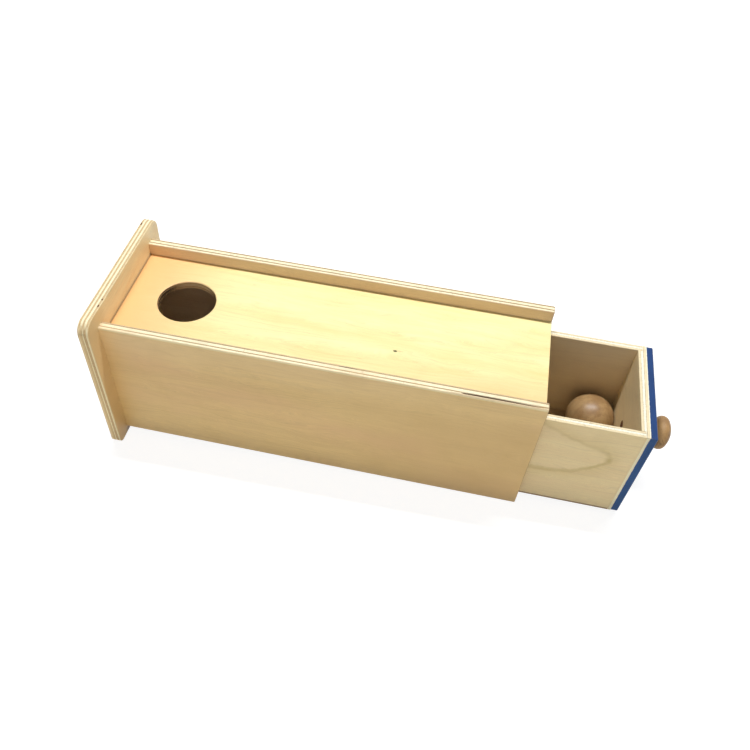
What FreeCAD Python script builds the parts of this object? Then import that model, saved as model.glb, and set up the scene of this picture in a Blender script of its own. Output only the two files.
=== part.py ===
import FreeCAD, Part
import math
import os

# Object permanence box: a plywood tunnel with a ball hole in its top, closed at one end by a
# larger plate, and a drawer that catches the ball and slides out of the other end.
# Millimetres. Origin at the middle of the casing's underside, +X towards the drawer's mouth,
# +Z up. "Left" and "right" are seen by someone who faces the drawer's front: right is +Y.

# Casing
casing_length = 267.0       # from the end plate to the open mouth
casing_width = 87.0         # over both side panels
casing_height = 95.0        # of the side panels
side_ply = 6.0              # thickness of the side panels
top_ply = 6.0               # thickness of the top panel
bottom_ply = 3.6            # thickness of the bottom panel
top_recess = 8.6            # the side panels stand this far above the top panel
housing_depth = 2.0         # how far the top and bottom panels enter the side panels
housing_play = 0.2          # left between a housed edge and the end of its housing
top_play = 0.2              # left above the top panel in its housings
top_gap = 0.3               # the top panel stops this far short of the end plate
hole_diameter = 36.5        # ball hole
hole_from_plate = 39.0      # its centre, from the end plate's inner face

# End plate
plate_size = 110.0          # square
plate_ply = 7.0
plate_corner = 8.0          # radius of the upper corners
plate_foot_corner = 4.0     # radius of the lower corners
plate_drop = 5.0            # how far the plate reaches below the casing, as a foot

# Drawer
drawer_ply = 4.6            # side, front and back walls
face_ply = 4.6              # painted face
drawer_floor_ply = 3.0
drawer_floor_rise = 5.1     # underside of the floor above the walls' lower edge
floor_groove = 2.0          # how far the floor enters the walls
floor_play = 0.2            # left between the floor's edge and the end of its groove
lap_lip = 2.0               # what the rabbet leaves of an end wall
play_beside = 0.3           # drawer to side panel, each side
play_above = 0.3            # drawer to top panel
play_below = 0.3            # drawer to bottom panel
play_behind = 0.5           # closed drawer to end plate
drawer_out = 64.6           # how far the stored drawer is pulled out

# Knob and its screw
knob_height = 44.5          # of the knob's axis, above the casing's underside
knob_stand = 20.6           # from the painted face to the tip
knob_head = 21.4            # greatest diameter
knob_head_depth = 12.0      # of the rounded head, along the axis
knob_foot = 12.6            # diameter where the knob meets the face
knob_waist = 10.0           # narrowest diameter
knob_waist_at = 3.4         # height of the waist above the face
knob_rim = 4.0              # radius of the head's rounded rim
knob_rim_end = 160          # degrees round the rim from the axis, where the neck takes over
screw_shank = 3.5           # diameter
screw_reach = 12.0          # length in the knob
screw_tip = 3.0             # length of the pointed end, part of the reach
screw_head = 6.4            # diameter of the countersunk head, whose sides slope at 45 degrees
screw_hole = 4.0            # clearance hole in the front wall and the face
recess_span = 3.4           # cross recess in the screw's head
recess_slot = 0.9
recess_depth = 1.2

# Ball
ball_diameter = 31.0
ball_gap = 0.2              # to the floor, the front wall and the right wall

# Eased edges
ease = 0.8                  # arrises of the casing and the plate
drawer_ease = 0.5           # arrises of the drawer
rim_ease = 1.0              # rims of the ball hole

# Places worked out from the sizes
plate_x = -casing_length / 2
mouth_x = casing_length / 2
half_width = casing_width / 2
tunnel_half = half_width - side_ply
top_face_z = casing_height - top_recess
tunnel_top_z = top_face_z - top_ply
plate_bottom_z = -plate_drop
drawer_half = tunnel_half - play_beside
drawer_low_z = bottom_ply + play_below
drawer_high_z = tunnel_top_z - play_above
face_front_x = mouth_x + drawer_out
front_out_x = face_front_x - face_ply
front_in_x = front_out_x - drawer_ply
back_out_x = plate_x + play_behind + drawer_out
back_in_x = back_out_x + drawer_ply
wall_in_y = drawer_half - drawer_ply
floor_low_z = drawer_low_z + drawer_floor_rise
floor_top_z = floor_low_z + drawer_floor_ply
ball_radius = ball_diameter / 2


def block(x0, x1, y0, y1, z0, z1):
    """Rectangular block between two corners."""
    corner = FreeCAD.Vector(min(x0, x1), min(y0, y1), min(z0, z1))
    return Part.makeBox(abs(x1 - x0), abs(y1 - y0), abs(z1 - z0), corner)


def bore(x, y, z, radius, length, axis):
    """Cylinder that starts at a point and runs along an axis."""
    return Part.makeCylinder(radius, length, FreeCAD.Vector(x, y, z), axis)


def prism(points, along):
    """Solid swept from a closed outline along a vector."""
    wire = Part.makePolygon([FreeCAD.Vector(*p) for p in points + points[:1]])
    return Part.Face(wire).extrude(along)


def spans(edge, axis):
    """Low and high end of an edge along one axis, 0 for X, 1 for Y and 2 for Z."""
    box = edge.BoundBox
    return ((box.XMin, box.XMax), (box.YMin, box.YMax), (box.ZMin, box.ZMax))[axis]


def lies_at(edge, axis, *values):
    """True where the whole edge lies at one of the given coordinates."""
    ends = spans(edge, axis)
    return any(all(math.isclose(end, v, abs_tol=1e-4) for end in ends) for v in values)


def runs_along(edge, axis):
    """True for a straight edge parallel to an axis."""
    return all(lies_at(edge, other, spans(edge, other)[0]) for other in range(3) if other != axis)


def eased(shape, radius, chosen):
    """The shape with a small round on each edge that chosen(edge) picks."""
    return shape.makeFillet(radius, [e for e in shape.Edges if chosen(e)])


def end_plate():
    """Square plate with round corners, wider and taller than the casing it closes."""
    half = plate_size / 2
    top = plate_bottom_z + plate_size
    plate = block(plate_x - plate_ply, plate_x, -half, half, plate_bottom_z, top)
    plate = eased(plate, plate_corner, lambda e: runs_along(e, 0) and lies_at(e, 2, top))
    plate = eased(plate, plate_foot_corner, lambda e: runs_along(e, 0) and lies_at(e, 2, plate_bottom_z))
    return eased(plate, ease, lambda e: lies_at(e, 0, plate_x, plate_x - plate_ply))


def side_panel(side):
    """Side panel, -1 for the left and +1 for the right, housed for the top and bottom panels."""
    outer = side * half_width
    inner = side * tunnel_half
    housed = side * (tunnel_half + housing_depth + housing_play)
    housing_top = top_face_z + top_play
    outline = [
        (plate_x, outer, 0),
        (plate_x, outer, casing_height),
        (plate_x, inner, casing_height),
        (plate_x, inner, housing_top),
        (plate_x, housed, housing_top),
        (plate_x, housed, tunnel_top_z),
        (plate_x, inner, tunnel_top_z),
        (plate_x, inner, bottom_ply),
        (plate_x, housed, bottom_ply),
        (plate_x, housed, 0),
    ]
    panel = prism(outline, FreeCAD.Vector(casing_length, 0, 0))
    long_edges = eased(panel, ease, lambda e: runs_along(e, 0) and (
        lies_at(e, 2, casing_height) or lies_at(e, 1, outer)))
    return eased(long_edges, ease, lambda e: lies_at(e, 0, mouth_x) and lies_at(e, 1, outer))


def top_panel():
    """Recessed top with the ball hole near the end plate."""
    reach = tunnel_half + housing_depth
    panel = block(plate_x + top_gap, mouth_x, -reach, reach, tunnel_top_z, top_face_z)
    hole_x = plate_x + hole_from_plate
    up = FreeCAD.Vector(0, 0, 1)
    panel = panel.cut(bore(hole_x, 0, tunnel_top_z, hole_diameter / 2, top_ply, up))
    return eased(panel, rim_ease, lambda e: not runs_along(e, 2) and len(e.Vertexes) == 1)


def bottom_panel():
    """Floor of the tunnel, flush with the lower edges of the side panels."""
    reach = tunnel_half + housing_depth
    return block(plate_x, mouth_x, -reach, reach, 0, bottom_ply)


def drawer_side(side):
    """Long drawer wall with the floor's groove, -1 for the left and +1 for the right."""
    outer = side * drawer_half
    inner = side * wall_in_y
    grooved = side * (wall_in_y + floor_groove + floor_play)
    start = back_out_x + lap_lip
    outline = [
        (start, outer, drawer_low_z),
        (start, outer, drawer_high_z),
        (start, inner, drawer_high_z),
        (start, inner, floor_top_z),
        (start, grooved, floor_top_z),
        (start, grooved, floor_low_z),
        (start, inner, floor_low_z),
        (start, inner, drawer_low_z),
    ]
    wall = prism(outline, FreeCAD.Vector(front_out_x - lap_lip - start, 0, 0))
    return eased(wall, drawer_ease, lambda e: runs_along(e, 0) and lies_at(e, 2, drawer_high_z))


def drawer_end(outside_x, inside_x):
    """End wall whose rabbets lap over the side walls, grooved inside for the floor."""
    inward = math.copysign(1.0, inside_x - outside_x)
    lip_x = outside_x + inward * lap_lip
    outline = [
        (outside_x, -drawer_half, drawer_low_z),
        (outside_x, drawer_half, drawer_low_z),
        (lip_x, drawer_half, drawer_low_z),
        (lip_x, wall_in_y, drawer_low_z),
        (inside_x, wall_in_y, drawer_low_z),
        (inside_x, -wall_in_y, drawer_low_z),
        (lip_x, -wall_in_y, drawer_low_z),
        (lip_x, -drawer_half, drawer_low_z),
    ]
    wall = prism(outline, FreeCAD.Vector(0, 0, drawer_high_z - drawer_low_z))
    groove_end = inside_x - inward * (floor_groove + floor_play)
    return wall.cut(block(inside_x, groove_end, -wall_in_y, wall_in_y, floor_low_z, floor_top_z))


def drawer_front():
    """Front wall, drilled and countersunk for the knob's screw."""
    wall = drawer_end(front_out_x, front_in_x)
    forward = FreeCAD.Vector(1, 0, 0)
    wall = wall.cut(bore(front_in_x, 0, knob_height, screw_hole / 2, drawer_ply, forward))
    return wall.cut(countersink(screw_hole / 2))


def drawer_back():
    """Back wall, rabbeted and grooved as the front wall is."""
    return drawer_end(back_out_x, back_in_x)


def drawer_floor():
    """Thin floor held by the grooves of all four walls."""
    reach = wall_in_y + floor_groove
    start = back_in_x - floor_groove
    end = front_in_x + floor_groove
    return block(start, end, -reach, reach, floor_low_z, floor_top_z)


def drawer_face():
    """Painted panel on the front wall, with eased front edges, drilled for the knob's screw."""
    panel = block(front_out_x, face_front_x, -drawer_half, drawer_half, drawer_low_z, drawer_high_z)
    panel = eased(panel, ease, lambda e: lies_at(e, 0, face_front_x) or runs_along(e, 0))
    forward = FreeCAD.Vector(1, 0, 0)
    return panel.cut(bore(front_out_x, 0, knob_height, screw_hole / 2, face_ply, forward))


def arc_through(start, middle, end):
    """Circular edge through three points."""
    return Part.Arc(start, middle, end).toShape()


def knob():
    """Turned mushroom knob: foot, hollowed neck, round rim and domed nose, drilled for its screw."""
    def at(height, radius):
        return FreeCAD.Vector(face_front_x + height, 0, knob_height + radius)

    def on_arc(centre, radius, degrees):
        turn = math.radians(degrees)
        return at(centre[0] + radius * math.cos(turn), centre[1] + radius * math.sin(turn))

    half_depth = knob_head_depth / 2
    rim_centre = (knob_stand - half_depth, knob_head / 2 - knob_rim)
    nose = (half_depth ** 2 + rim_centre[1] ** 2 - knob_rim ** 2) / (2 * (half_depth - knob_rim))
    nose_centre = (knob_stand - nose, 0)
    meets = math.degrees(math.atan2(rim_centre[1], nose - half_depth))
    tip = at(knob_stand, 0)
    foot = at(0, knob_foot / 2)
    shoulder = on_arc(nose_centre, nose, meets)
    under = on_arc(rim_centre, knob_rim, knob_rim_end)
    outline = Part.Wire([
        Part.makeLine(at(0, 0), foot),
        arc_through(foot, at(knob_waist_at, knob_waist / 2), under),
        arc_through(under, on_arc(rim_centre, knob_rim, 90), shoulder),
        arc_through(shoulder, on_arc(nose_centre, nose, meets / 2), tip),
        Part.makeLine(tip, at(0, 0)),
    ])
    forward = FreeCAD.Vector(1, 0, 0)
    turned = Part.Face(outline).revolve(at(0, 0), forward, 360)
    return turned.cut(screw_shank_solid(face_front_x))


def countersink(least_radius):
    """Cone of the screw's head, from the front wall's inner face down to a radius."""
    depth = screw_head / 2 - least_radius
    centre = FreeCAD.Vector(front_in_x, 0, knob_height)
    return Part.makeCone(screw_head / 2, least_radius, depth, centre, FreeCAD.Vector(1, 0, 0))


def screw_shank_solid(start_x):
    """Shank from a plane to the pointed end inside the knob."""
    forward = FreeCAD.Vector(1, 0, 0)
    cone_x = face_front_x + screw_reach - screw_tip
    shank = bore(start_x, 0, knob_height, screw_shank / 2, cone_x - start_x, forward)
    tip = Part.makeCone(screw_shank / 2, 0, screw_tip, FreeCAD.Vector(cone_x, 0, knob_height), forward)
    return shank.fuse(tip).removeSplitter()


def knob_screw():
    """Countersunk screw from inside the drawer, flush with the front wall, with a cross recess."""
    screw = countersink(screw_shank / 2).fuse(screw_shank_solid(front_in_x)).removeSplitter()
    span = recess_span / 2
    slot = recess_slot / 2
    deep_x = front_in_x + recess_depth
    upright = block(front_in_x, deep_x, -slot, slot, knob_height - span, knob_height + span)
    level = block(front_in_x, deep_x, -span, span, knob_height - slot, knob_height + slot)
    return screw.cut(upright.fuse(level))


def ball():
    """Wooden ball, rolled into the corner of the front and the right wall."""
    keep = ball_radius + ball_gap
    centre = FreeCAD.Vector(front_in_x - keep, wall_in_y - keep, floor_top_z + keep)
    return Part.makeSphere(ball_radius, centre)


def main():
    nodes = {
        "end_plate": end_plate(),
        "left_side_panel": side_panel(-1),
        "right_side_panel": side_panel(1),
        "top_panel": top_panel(),
        "bottom_panel": bottom_panel(),
        "drawer_left_wall": drawer_side(-1),
        "drawer_right_wall": drawer_side(1),
        "drawer_front_wall": drawer_front(),
        "drawer_back_wall": drawer_back(),
        "drawer_floor": drawer_floor(),
        "drawer_face": drawer_face(),
        "knob": knob(),
        "knob_screw": knob_screw(),
        "ball": ball(),
    }
    os.makedirs("parts", exist_ok=True)
    for name, shape in nodes.items():
        shape.exportStep("parts/" + name + ".step")
        box = shape.BoundBox
        print(name, "solids", len(shape.Solids), "valid", shape.isValid(),
              "volume", round(shape.Volume, 1),
              "from", [round(v, 2) for v in (box.XMin, box.YMin, box.ZMin)],
              "to", [round(v, 2) for v in (box.XMax, box.YMax, box.ZMax)])


main()
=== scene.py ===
"""Object permanence box: the looks of a plywood box with a ball hole, its drawer and its ball.

Laid out as an add-on: one operator makes each piece or group of like pieces around the frame.
The frame's coordinates: +X to the drawer's mouth, +Z up, metres.
"""

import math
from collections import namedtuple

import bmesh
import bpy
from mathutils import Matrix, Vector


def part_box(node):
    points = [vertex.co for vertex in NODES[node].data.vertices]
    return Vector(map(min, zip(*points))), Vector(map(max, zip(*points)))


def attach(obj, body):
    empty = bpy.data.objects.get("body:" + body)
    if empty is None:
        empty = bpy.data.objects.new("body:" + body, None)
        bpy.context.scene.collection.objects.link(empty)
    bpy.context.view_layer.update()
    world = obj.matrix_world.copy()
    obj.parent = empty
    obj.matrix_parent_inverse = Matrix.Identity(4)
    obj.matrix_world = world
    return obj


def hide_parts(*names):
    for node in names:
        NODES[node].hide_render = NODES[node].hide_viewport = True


bl_info = {
    "name": "Object permanence box",
    "version": (1, 0, 0),
    "blender": (4, 5, 0),
    "location": "View3D > Sidebar > Ball Box",
    "description": "Makes the plywood, paint and turned wood of a ball box with a drawer",
    "category": "Object",
}

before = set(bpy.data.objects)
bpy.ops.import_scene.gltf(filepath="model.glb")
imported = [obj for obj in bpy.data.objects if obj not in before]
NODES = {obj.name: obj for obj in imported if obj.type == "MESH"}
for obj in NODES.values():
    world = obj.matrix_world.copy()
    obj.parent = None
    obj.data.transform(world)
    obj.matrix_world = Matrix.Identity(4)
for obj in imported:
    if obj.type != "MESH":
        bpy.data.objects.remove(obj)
MM = 0.001
AXES = (Vector((1, 0, 0)), Vector((0, 1, 0)), Vector((0, 0, 1)))
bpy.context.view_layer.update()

TINY = 1e-7  # metres; points closer than this are one
EDGE_SKIN = 0.2 * MM  # what lies this close to the top belongs to an upper edge
BUMP_DEPTH = 0.05 * MM  # of a full swing of a material's height
SMOOTH_UNDER = math.radians(32)  # a board's sharper edges stay sharp
AIM = Vector((0.02, 0.0, 0.05))  # where both lamps point
WHITE = (1.0, 1.0, 1.0)


def srgb(red, green, blue):
    """A display colour, 0 to 255, as the linear colour that nodes and properties hold."""
    def linear(value):
        value /= 255
        return value / 12.92 if value <= 0.04045 else ((value + 0.055) / 1.055) ** 2.4

    return linear(red), linear(green), linear(blue)


# ---- sizes and colours


def length(name, millimetres, description):
    return bpy.props.FloatProperty(name=name, default=millimetres * MM, description=description,
                                   unit="LENGTH", precision=5)


def whole(name, default, low, description):
    return bpy.props.IntProperty(name=name, default=default, min=low, description=description)


def factor(name, default, description, low=0.0):
    return bpy.props.FloatProperty(name=name, default=default, min=low, max=1,
                                   subtype="FACTOR", description=description)


def number(name, default, description, **more):
    return bpy.props.FloatProperty(name=name, default=default, min=0, description=description,
                                   **more)


def place(name, default, description):
    return bpy.props.FloatVectorProperty(name=name, default=default, description=description,
                                         subtype="TRANSLATION", unit="LENGTH")


def colour(name, default, description):
    return bpy.props.FloatVectorProperty(name=name, default=srgb(*default), size=3, min=0,
                                         max=1, subtype="COLOR", description=description)


class BALLBOX_PG_plywood(bpy.types.PropertyGroup):
    """Make-up of the plywood boards."""
    casing_plies: whole("Casing plies", 5, 3, "Plies in the casing's panels")
    casing_veneer: length("Casing veneer", 0.9, "Outer veneer of the casing's panels")
    casing_cross: factor("Casing cross plies", 0.5,
                         "Thickness of the casing's crossed plies, as a share of an even ply", 0.1)
    plate_plies: whole("Plate plies", 7, 3, "Plies in the end plate")
    plate_veneer: length("Plate veneer", 0.5, "Outer veneer of the end plate")
    plate_cross: factor("Plate cross plies", 0.8,
                        "Thickness of the plate's crossed plies, as a share of an even ply", 0.1)
    drawer_plies: whole("Drawer plies", 3, 3, "Plies in the drawer's walls")
    drawer_veneer: length("Drawer veneer", 1.5, "Outer plies of the drawer's walls")
    thin_plies: whole("Thin board plies", 3, 3, "Plies in the two thin boards")
    thin_veneer: length("Thin board veneer", 1.1, "Outer plies of the two thin boards")
    glue_width: length("Glue line", 0.14, "Width of the groove along a glue line")
    glue_depth: length("Glue line depth", 0.07, "How deep a glue line lies on a sawn edge")
    cross_depth: length("Cross ply depth", 0.04, "How deep sanding leaves the end grain")
    edge_roughness: length("Edge roughness", 0.05, "Unevenness of the end grain")
    edge_step: length("Edge step", 1.6, "Spacing of points along a sawn edge")


class BALLBOX_PG_turned(bpy.types.PropertyGroup):
    """Turned pieces."""
    knob_foot: length("Knob foot", 12.6, "Diameter of the knob where it meets the face")
    knob_waist: length("Knob waist", 10.0, "Narrowest diameter of the knob")
    knob_waist_at: length("Waist height", 3.4, "Height of the waist above the face")
    knob_head_depth: length("Head depth", 12.0, "Depth of the knob's rounded head")
    knob_rim: length("Rim radius", 4.0, "Radius of the head's rim")
    knob_rim_end: bpy.props.FloatProperty(
        name="Rim end", default=math.radians(160), subtype="ANGLE",
        description="Angle round the rim from the axis where the neck takes over")
    bore: length("Bore", 3.5, "Diameter of the knob's bore for its screw")
    bore_depth: length("Bore depth", 12.0, "Depth of the bore with its pointed end")
    bore_tip: length("Bore tip", 3.0, "Length of the bore's pointed end")
    segments: whole("Segments", 96, 12, "Points round a turned piece")
    ring_pitch: length("Ring pitch", 1.1, "Spacing of the faint rings the gouge leaves")
    ring_depth: length("Ring depth", 0.012, "Depth of those rings")


class BALLBOX_PG_colours(bpy.types.PropertyGroup):
    """Colours of the finishes."""
    top_veneer: colour("Top veneer", (252, 243, 182), "Pale veneer of the top panel")
    # partly painted shade: the top is darker where the light falls off towards the plate
    top_warm_and_shade: colour("Top warm", (246, 194, 130), "Top panel's wood towards the plate")
    top_shade: colour("Top shade", (250, 218, 146), "Warm figure of the top panel")
    near_veneer: colour("Near veneer", (243, 214, 153), "Veneer of the left side panel")
    near_blush: colour("Near blush", (236, 196, 150), "Pinkish cast on the left panel")
    near_shade: colour("Near shade", (222, 190, 132), "Figure of the left side panel")
    # painted light along the left panel's upper part
    near_painted_light: colour("Near light", (255, 230, 184), "Left panel along its upper edge")
    far_veneer: colour("Far veneer", (231, 203, 166), "Veneer of the right side panel")
    far_shade: colour("Far shade", (216, 180, 138), "Figure of the right side panel")
    plate_veneer: colour("Plate veneer", (255, 238, 196), "Veneer of the end plate")
    plate_shade: colour("Plate shade", (252, 226, 176), "Darker figure of the end plate")
    # partly painted shade on the plate's near strip
    plate_warm_and_shade: colour("Plate warm", (236, 203, 150), "Warm wood at the plate's near side")
    plate_glue: colour("Plate glue", (186, 156, 108), "Glue lines of the end plate")
    plate_cross: colour("Plate cross", (214, 186, 138), "End grain on the plate's edges")
    inner_veneer: colour("Inner veneer", (204, 203, 210), "Veneer of the tunnel's inside")
    inner_shade: colour("Inner shade", (180, 172, 164), "Figure of the tunnel's inside")
    casing_core: colour("Casing core", (255, 245, 208), "Long grain on the casing's edges")
    casing_cross: colour("Casing cross", (178, 146, 98), "End grain on the casing's edges")
    drawer_veneer: colour("Drawer veneer", (250, 233, 188), "Veneer of the drawer's walls")
    drawer_shade: colour("Drawer shade", (234, 206, 162), "Figure of the drawer's walls")
    # painted shade: the drawer's inner faces and the top of its floor are painted darker
    drawer_inside_shade: colour("Drawer inside", (218, 195, 164), "The walls' inner faces")
    drawer_bottom_shade: colour("Drawer bottom", (172, 144, 110), "Browner top of the drawer's floor")
    drawer_growth: colour("Drawer growth", (178, 154, 40), "Growth lines of the near wall")
    drawer_edge: colour("Drawer edge", (240, 224, 184), "Outer plies on the drawer's edges")
    drawer_core: colour("Drawer core", (254, 250, 226), "White core of the drawer's plywood")
    glue: colour("Glue", (138, 106, 66), "Glue lines between the plies")
    knot: colour("Knot", (70, 70, 8), "The top panel's small knot")
    hole_wall_shade: colour("Hole wall", (62, 44, 22), "Saw-darkened wall of the ball hole")
    # painted shade for the ball hole's wall
    gap: colour("Gap", (108, 62, 32), "Gaps left in the inner plies")
    paint: colour("Paint", (31, 80, 142), "Blue paint of the drawer's face")
    ball_wood: colour("Ball wood", (178, 146, 102), "Turned wood of the ball")
    knob_wood: colour("Knob wood", (184, 145, 94), "Turned wood of the knob")
    fleck: colour("Fleck", (118, 82, 48), "Short dark flecks in the turned wood")
    steel: colour("Steel", (128, 92, 68), "Darkened steel of the screw")


class BALLBOX_PG_stage(bpy.types.PropertyGroup):
    """Camera, lamps and floor."""
    camera_place: place("Camera place", (0.06808, -0.33039, 0.4209), "Where the camera stands")
    camera_turn: bpy.props.FloatVectorProperty(
        name="Camera turn", subtype="EULER", unit="ROTATION",
        default=tuple(math.radians(a) for a in (39.7198, -1.7701, 12.3306)),
        description="How the camera is turned")
    lens: number("Lens", 36.619, "Focal length in millimetres")
    shift: bpy.props.FloatVectorProperty(
        name="Shift", default=(0.0435, 0.0340), size=2, description="Lens shift of the framing")
    key_place: place("Key lamp place", (0.02, 0.235, 1.2), "Where the long lamp hangs")
    key_length: length("Key lamp length", 900, "Length of the long lamp, along the box")
    key_width: length("Key lamp width", 50, "Width of the long lamp")
    key_power: number("Key lamp power", 14.5, "Long lamp", unit="POWER")
    fill_place: place("Fill lamp place", (0.0, -1.3, 0.4),
                      "Where the weak lamp beside the camera stands")
    fill_size: length("Fill lamp size", 1000, "Side of the weak lamp")
    fill_power: number("Fill lamp power", 3.0, "Weak lamp", unit="POWER")
    sky: number("Sky", 0.14, "Strength of the even light all round")
    floor_size: length("Floor size", 6000, "Side of the floor")
    floor_colour: colour("Floor", (244, 233, 208), "Pale floor that lights the sides")
    floor_shadow: factor("Floor shadow", 0.3,
                         "How much of the object's shadow shows on the white floor")
    floor_white: number("Floor white", 1.26, "Strength of the floor's white")


GROUPS = (
    ("ballbox_plywood", BALLBOX_PG_plywood),
    ("ballbox_turned", BALLBOX_PG_turned),
    ("ballbox_colours", BALLBOX_PG_colours),
    ("ballbox_stage", BALLBOX_PG_stage),
)


# ---- nodes


FLOAT, VECTOR, COLOUR = "NodeSocketFloat", "NodeSocketVector", "NodeSocketColor"
WHOLE, GEOMETRY, MATERIAL = "NodeSocketInt", "NodeSocketGeometry", "NodeSocketMaterial"
TYPE_OF_DEFAULT = {float: FLOAT, int: WHOLE, tuple: COLOUR, Vector: VECTOR}
TYPE_OF_RESULT = {"VALUE": FLOAT, "RGBA": COLOUR, "GEOMETRY": GEOMETRY}


def sum_with(operation, swapped=False):
    """A method of Wire that works out an operation with the node that it needs."""
    def method(self, *others):
        return self.graph.math(operation, *((*others, self) if swapped else (self, *others)))

    return method


class Wire:
    """A node's output. A sum written with it adds the Math or Vector Math nodes for that sum."""
    __add__, __radd__ = sum_with("ADD"), sum_with("ADD", swapped=True)
    __sub__, __rsub__ = sum_with("SUBTRACT"), sum_with("SUBTRACT", swapped=True)
    __mul__, __truediv__ = sum_with("MULTIPLY"), sum_with("DIVIDE")
    __pow__, __mod__ = sum_with("POWER"), sum_with("MODULO")
    __lt__, __gt__ = sum_with("LESS_THAN"), sum_with("GREATER_THAN")
    __abs__ = sum_with("ABSOLUTE")

    def __init__(self, graph, socket):
        self.graph = graph
        self.socket = socket

    def __neg__(self):
        return self * -1

    def ramp(self, low, high, to_low=0, to_high=1, smooth=True):
        """The value from low..high mapped to to_low..to_high, held at the ends."""
        return self.graph.add("ShaderNodeMapRange", {
            "Value": self, "From Min": low, "From Max": high, "To Min": to_low,
            "To Max": to_high}, interpolation_type="SMOOTHSTEP" if smooth else "LINEAR")

    def fade(self, low, high, start=1):
        """The start up to low, then less and less to nothing at high."""
        return self.ramp(low, high, start, 0)


def is_vector(value):
    if isinstance(value, Wire):
        return value.socket.type in ("VECTOR", "RGBA")
    return hasattr(value, "__len__")


class Graph:
    """Adds and wires the nodes of one tree."""

    def __init__(self, tree):
        self.tree = tree

    def add(self, kind, inputs=(), output=0, **settings):
        """A node with its settings and inputs; returns the output that is named or numbered."""
        node = self.tree.nodes.new(kind)
        for name, value in settings.items():
            setattr(node, name, value)
        for name, value in dict(inputs).items():
            self.put(node.inputs[name], value)
        return Wire(self, node.outputs[output]) if len(node.outputs) else None

    def put(self, socket, value):
        """Wires a value to a socket, or sets it there."""
        if isinstance(value, Wire):
            self.tree.links.new(value.socket, socket)
        else:
            socket.default_value = (*value, 1) if socket.type == "RGBA" else value

    def math(self, operation, *values, clamp=False):
        vectors = [is_vector(value) for value in values]
        inputs = dict(enumerate(values))
        if not any(vectors):
            return self.add("ShaderNodeMath", inputs, operation=operation, use_clamp=clamp)
        if operation == "MULTIPLY" and not all(vectors):
            operation, inputs = "SCALE", {0: values[0], "Scale": values[1]}
        output = "Value" if operation in ("DOT_PRODUCT", "LENGTH") else "Vector"
        return self.add("ShaderNodeVectorMath", inputs, output, operation=operation)

    def least(self, first, *others):
        return self.math("MINIMUM", first, self.least(*others)) if others else first

    def most(self, first, *others):
        return self.math("MAXIMUM", first, self.most(*others)) if others else first

    def parts(self, vector):
        node = self.add("ShaderNodeSeparateXYZ", {0: vector}).socket.node
        return [Wire(self, socket) for socket in node.outputs]

    def joined(self, x, y, z):
        return self.add("ShaderNodeCombineXYZ", {0: x, 1: y, 2: z})

    def noise(self, vector, scale=1, detail=2, roughness=0.5, distortion=0, output=0):
        return self.add("ShaderNodeTexNoise", {
            "Vector": vector, "Scale": scale, "Detail": detail, "Roughness": roughness,
            "Distortion": distortion}, output)

    def mix(self, share, first, second, blend="MIX"):
        """Colours mixed."""
        return self.add("ShaderNodeMix", {0: share, 6: first, 7: second}, 2,
                        data_type="RGBA", blend_type=blend)

    def mix_value(self, share, first, second):
        return self.add("ShaderNodeMix", {0: share, 2: first, 3: second}, data_type="FLOAT")

    def shaded(self, base, tone):
        """A colour times a value."""
        return self.mix(1, base, self.joined(tone, tone, tone), "MULTIPLY")

    def coated(self, base, *coats):
        """A colour under coats laid one after the other, each with the mask it goes through."""
        for mask, coat in coats:
            base = self.mix(mask, base, coat)
        return base

    def object_place(self):
        return self.add("ShaderNodeTexCoord", output="Object")

    def give(self, **results):
        """Makes a node group put out results by name; returns the group."""
        for name, value in results.items():
            self.tree.interface.new_socket(name, in_out="OUTPUT",
                                           socket_type=TYPE_OF_RESULT[value.socket.type])
        sink = self.tree.nodes.new("NodeGroupOutput")
        for name, value in results.items():
            self.put(sink.inputs[name], value)
        return self.tree


def new_group(name, inputs, kind="ShaderNodeTree"):
    """A node group; returns its graph and its inputs.

    They are given by name with a default, or with their type alone."""
    tree = bpy.data.node_groups.new(name, kind)
    for title, default in inputs.items():
        given = isinstance(default, str)
        socket_type = default if given else TYPE_OF_DEFAULT[type(default)]
        socket = tree.interface.new_socket(title, in_out="INPUT", socket_type=socket_type)
        if not given:
            socket.default_value = (*default, 1) if socket_type == COLOUR else default
    g = Graph(tree)
    source = tree.nodes.new("NodeGroupInput")
    return g, {socket.name: Wire(g, socket) for socket in source.outputs if socket.name}


def ply_at(through, i):
    """Which ply a depth in the board lies in, and how far the nearest glue line is.

    The crossed plies may be thinner than the others: they keep Cross Share of an even ply."""
    g = through.graph
    inner = (i["Thickness"] - i["Outer Veneer"] * 2) / (i["Plies"] - 2)
    level = (through - i["Outer Veneer"]) / inner
    pair = g.math("FLOOR", level * 0.5) * 2
    rest = level - pair
    start = 1 - i["Cross Share"]
    ply = g.least(g.most(pair + ((rest > start) + (rest > 1)), 0), i["Plies"] - 1)
    off = g.least(*(abs(rest - line) for line in (start, 1, start + 2)))
    # there are none in the outer veneers
    outside = g.most(-level, level - (i["Plies"] - 2))
    return ply, g.most(off, outside - 0.2) * inner


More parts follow.
